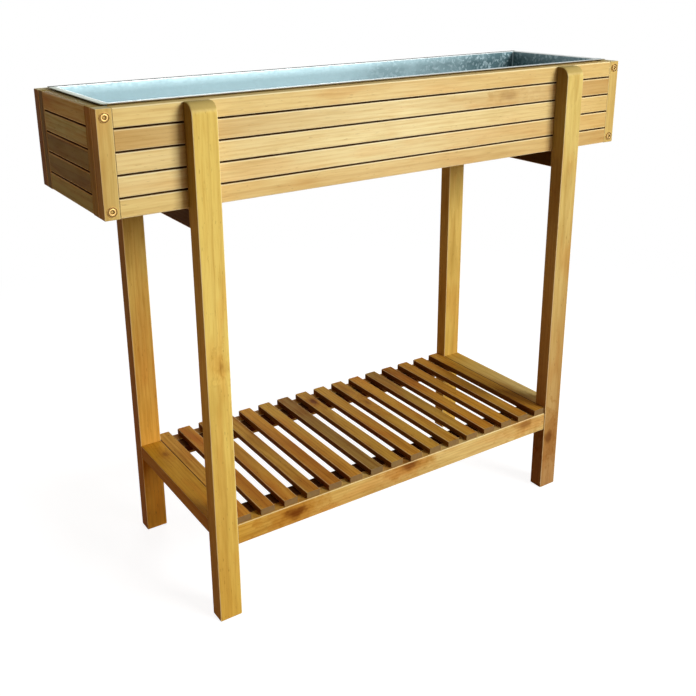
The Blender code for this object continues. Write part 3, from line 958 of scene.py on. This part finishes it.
for socket, node in {
    "Roughness": add(tree, "Math", {0: zone["dulled"], 1: 0.3, 2: rough}, operation="MULTIPLY_ADD"),
    "Metallic": add(tree, "MapRange", {0: zone["bloomed"], TO_LOW: 0.6, TO_HIGH: 0.0}),
    "Specular IOR Level": add(tree, "MapRange", {0: zone["back edge"], TO_LOW: 0.5, TO_HIGH: 0.0}),
    "Normal": add(tree, "Bump", height),
}.items():
    tree.links.new(node.outputs[0], shader.inputs[socket])
print("zinc has", len(tree.nodes), "nodes")

# %% [markdown]
# ## The folded liner
#
# The liner is cut from one sheet and folded up, with a flat rim turned out all round and its
# raw edge hemmed under. It could be a box with its lid taken off, but folded sheet has rounded
# bends that catch a bright line. So it is built as rings of points that follow the sheet in
# section, from the floor's middle up the inside, over the rim and down the outside.

# %% Liner section
RIM = 9 * MM
SHEET = 0.8 * MM
BEND = 2.5 * MM
RIM_THICK = 1.2 * MM
RIM_CORNER = 1.5 * MM
ALONG_LONG, ALONG_SHORT, ALONG_CORNER = 72, 18, 5  # points on a ring's sides and corners
UP_WALL = 9

low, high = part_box("liner")
half = Vector(((high.x - low.x) / 2, (high.y - low.y) / 2))


def quarter_turn(steps):
    """Angles from 0 to 90 degrees."""
    return [RIGHT_ANGLE * i / steps for i in range(steps + 1)]


def sheet_ring(inset, corner, z):
    """Points round a rounded rectangle inside the rim's edge, as many in each ring."""
    arcs = []
    for quarter, (sx, sy) in enumerate(((1, 1), (-1, 1), (-1, -1), (1, -1))):
        centre = Vector((sx * (half.x - inset - corner), sy * (half.y - inset - corner)))
        angles = [RIGHT_ANGLE * quarter + t for t in quarter_turn(ALONG_CORNER)]
        arcs.append([centre + corner * Vector((math.cos(a), math.sin(a))) for a in angles])
    points = []
    for quarter, count in enumerate((ALONG_LONG, ALONG_SHORT) * 2):
        arc, after = arcs[quarter], arcs[(quarter + 1) % 4]
        points += arc + [arc[-1].lerp(after[0], i / count) for i in range(1, count)]
    return [Vector((p.x, p.y, z)) for p in points]


def liner_rings():
    """How far each ring lies inside the rim's edge, its corner and its height."""
    inside = RIM + SHEET
    floor_z, top_z, under_z = low.z + SHEET, high.z, high.z - RIM_THICK
    wall_low, wall_high = floor_z + BEND, top_z - SHEET
    hem = RIM_THICK / 2
    rings = [(inside + step * MM, BEND, floor_z) for step in (60, 30, 10)]
    for t in quarter_turn(4):  # the bend from the floor to the wall
        inset = inside + BEND * (1 - math.sin(t))
        rings.append((inset, BEND, floor_z + BEND * (1 - math.cos(t))))
    for i in range(1, UP_WALL):
        rings.append((inside, BEND, wall_low + (wall_high - wall_low) * i / UP_WALL))
    for t in quarter_turn(3):  # over the top bend
        inset = inside - SHEET * (1 - math.cos(t))
        rings.append((inset, BEND, wall_high + SHEET * math.sin(t)))
    for i in range(6):  # round the hemmed edge
        t = 2 * RIGHT_ANGLE * i / 5
        inset = hem * (1 - math.sin(t))
        rings.append((inset, RIM_CORNER, top_z - hem + hem * math.cos(t)))
    rings.append((RIM - 0.3 * MM, BEND + SHEET, under_z))
    for i in range(1, UP_WALL):
        rings.append((RIM, BEND + SHEET, under_z + (low.z + BEND - under_z) * i / UP_WALL))
    for t in quarter_turn(4):
        inset = RIM + BEND * (1 - math.cos(t))
        rings.append((inset, BEND, low.z + BEND * (1 - math.sin(t))))
    return rings


print("liner section:", len(liner_rings()), "rings")

# %% [markdown]
# ## The liner's walls
#
# Long thin walls never stay quite flat, and flat ones would mirror the room like glass. Slow
# noise bows them by a few tenths of a millimetre, but not at the corners and the floor, which
# hold the sheet. Both skins of the sheet read the same noise, which keeps its thickness.

# %% Liner
BOW = 0.7 * MM
BOWS_ALONG, BOWS_UP = 5.5, 9  # per metre
FRONT_TO_BACK = 3.7  # far apart in the noise, so that front and back bow in their own ways
HELD = 60 * MM  # a corner holds the wall this far


def bowed(point):
    """How far the sheet stands out from flat at a point."""
    calm = min(1, (half.x - abs(point.x)) / HELD) if abs(point.y) > half.y - 20 * MM else 0
    height = (point.z - low.z) / (high.z - low.z)
    side = FRONT_TO_BACK * math.copysign(1, point.y)
    push = noise.noise(Vector((point.x * BOWS_ALONG, side, point.z * BOWS_UP)))
    return Vector((0, push * BOW * calm * min(1, 2.5 * height), 0))


bm = bmesh.new()
skin(bm, [[bm.verts.new(p + bowed(p)) for p in sheet_ring(*ring)] for ring in liner_rings()])
liner = piece("folded_zinc_liner", bm, zinc, body="liner")
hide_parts("liner")
print("liner", len(liner.data.vertices), "points")

# %% [markdown]
# ## Studio: the floor
#
# The photograph is a cut-out on pure white. A white floor under a bright lamp would throw so
# much light back up that the dark sides of the legs would vanish, so the floor is a pale one
# that shows as white to the camera and keeps only a faint shadow. To everything else it is
# brown, as a wooden floor would be, and warms the sides that face down and away.

# %% Floor
FLOOR_LIT, FLOOR_GLOW = 0.30, 0.90  # lamp light that the camera sees on it, and its own white
FLOOR_BOUNCE = "#A8845E"
FADE_FROM, FADE_TO = 0.75, 1.6  # from here to here, the lit floor fades into plain white


def shown_to_camera(tree):
    """Light Path, and 1 for what the camera sees, straight or in metal or through glass."""
    ray = add(tree, "LightPath")
    seen = ray.outputs["Is Camera Ray"]
    for kind in ("Is Glossy Ray", "Is Transmission Ray"):
        seen = add(tree, "Math", {0: seen, 1: ray.outputs[kind]}, operation="MAXIMUM").outputs[0]
    return ray, seen


floor_bm = bmesh.new()
bmesh.ops.create_circle(floor_bm, cap_ends=True, segments=96, radius=14)
floor_mesh = bpy.data.meshes.new("floor")
floor_bm.to_mesh(floor_mesh)
floor_bm.free()
floor = bpy.data.objects.new("floor", floor_mesh)
bpy.context.scene.collection.objects.link(floor)

paper, tree, shader = new_material("pale studio paper")
tree.nodes.remove(shader)
place = add(tree, "TexCoord")
away = add(tree, "VectorMath", {0: place.outputs["Object"]}, operation="LENGTH").outputs["Value"]
away = add(tree, "MapRange", {0: away, LOW: FADE_FROM, HIGH: FADE_TO}, **SOFTLY)
lit = add(tree, "BsdfDiffuse", {"Color": (FLOOR_LIT,) * 3 + (1,)})
glow = add(tree, "Emission", {"Color": WHITE, "Strength": FLOOR_GLOW})
seen = add(tree, "AddShader", {0: lit, 1: glow})
white = add(tree, "Emission", {"Color": WHITE, "Strength": 1.0})
seen = add(tree, "MixShader", {0: away, 1: seen, 2: white})
bounce = add(tree, "BsdfDiffuse", {"Color": srgb(FLOOR_BOUNCE)})
shown = add(tree, "MixShader", {0: shown_to_camera(tree)[1], 1: bounce, 2: seen})
tree.links.new(shown.outputs[0], tree.nodes["Material Output"].inputs["Surface"])
floor_mesh.materials.append(paper)
print("floor fades to white from", FADE_FROM, "to", FADE_TO, "m")

# %% [markdown]
# ## Studio: the background
#
# The background is white to the camera, straight or in metal or through glass. A real studio
# is dim behind the camera, and metal mirrors that too, so what it sees falls off towards
# there. A white world at full strength would wash out every shadow. So the light that it
# throws on the planter is weak, and warm from bouncing about a room of wood.

# %% Background
AMBIENT = 0.05  # light from all round, against 1 for white
AMBIENT_TINT = "#FFD6B0"
BEHIND_CAMERA = 0.2  # what metal reflects of the dim room behind the camera
ROOM = 0.6  # the room goes from dim to bright between this far behind and before the middle

world = bpy.data.worlds.new("studio")
bpy.context.scene.world = world
world.use_nodes = True
tree = world.node_tree
ray, bright = shown_to_camera(tree)
place = add(tree, "TexCoord")
split = add(tree, "SeparateXYZ", {0: place.outputs["Generated"]})
room = {0: split.outputs["Y"], LOW: -ROOM, HIGH: ROOM, TO_LOW: BEHIND_CAMERA}
room = add(tree, "MapRange", room, **SOFTLY)
shown = add(tree, "Math", {0: room, 1: ray.outputs["Is Camera Ray"]}, operation="MAXIMUM")
strength = add(tree, "MapRange", {0: bright, TO_LOW: AMBIENT, TO_HIGH: shown})
tint = add(tree, "Mix", {0: bright, MIX_A: srgb(AMBIENT_TINT), MIX_B: WHITE}, data_type="RGBA")
background = tree.nodes["Background"]
tree.links.new(strength.outputs[0], background.inputs["Strength"])
tree.links.new(tint.outputs[MIX_RESULT], background.inputs["Color"])
print("ambient light", AMBIENT)

# %% [markdown]
# ## Studio: the lamps
#
# The key lamp is large and soft and stands well to the right of the camera, so that the fronts
# are bright and the left sides dark, as in the photograph. Alone, its shadows would swallow the
# shelf. So a low lamp in front lights the shelf, a weak one the tops, a warm one from the left
# the dark sides, and one behind the far side.

# %% Lamps
LAMPS = {  # place, width, height, watts, colour
    "key softbox": ((2.4, -5.1, 3.0), 2.6, 2.0, 328, "#FFFFFF"),
    "front softbox": ((0.4, -3.0, 0.45), 1.4, 0.8, 15, "#FFFFFF"),
    "top softbox": ((0.3, 0.1, 2.7), 1.2, 0.9, 6, "#FFFFFF"),
    "left fill": ((-3.0, 0.6, 0.5), 1.2, 1.2, 14, "#FFC498"),
    "back softbox": ((0.9, 2.5, 0.8), 1.6, 1.0, 30, "#FFFFFF"),
}
AIM = Vector((0, 0, 0.45))  # the planter's middle
for name, (spot, width, height, watts, tint) in LAMPS.items():
    lamp_data = bpy.data.lights.new(name, "AREA")
    lamp_data.shape = "RECTANGLE"
    lamp_data.size, lamp_data.size_y = width, height
    lamp_data.energy = watts
    lamp_data.color = srgb(tint)[:3]
    lamp = bpy.data.objects.new(name, lamp_data)
    bpy.context.scene.collection.objects.link(lamp)
    lamp.location = spot
    lamp.rotation_euler = (AIM - Vector(spot)).to_track_quat("-Z", "Y").to_euler()
bpy.context.scene.view_settings.view_transform = "Standard"
print("lamps:", ", ".join(LAMPS))
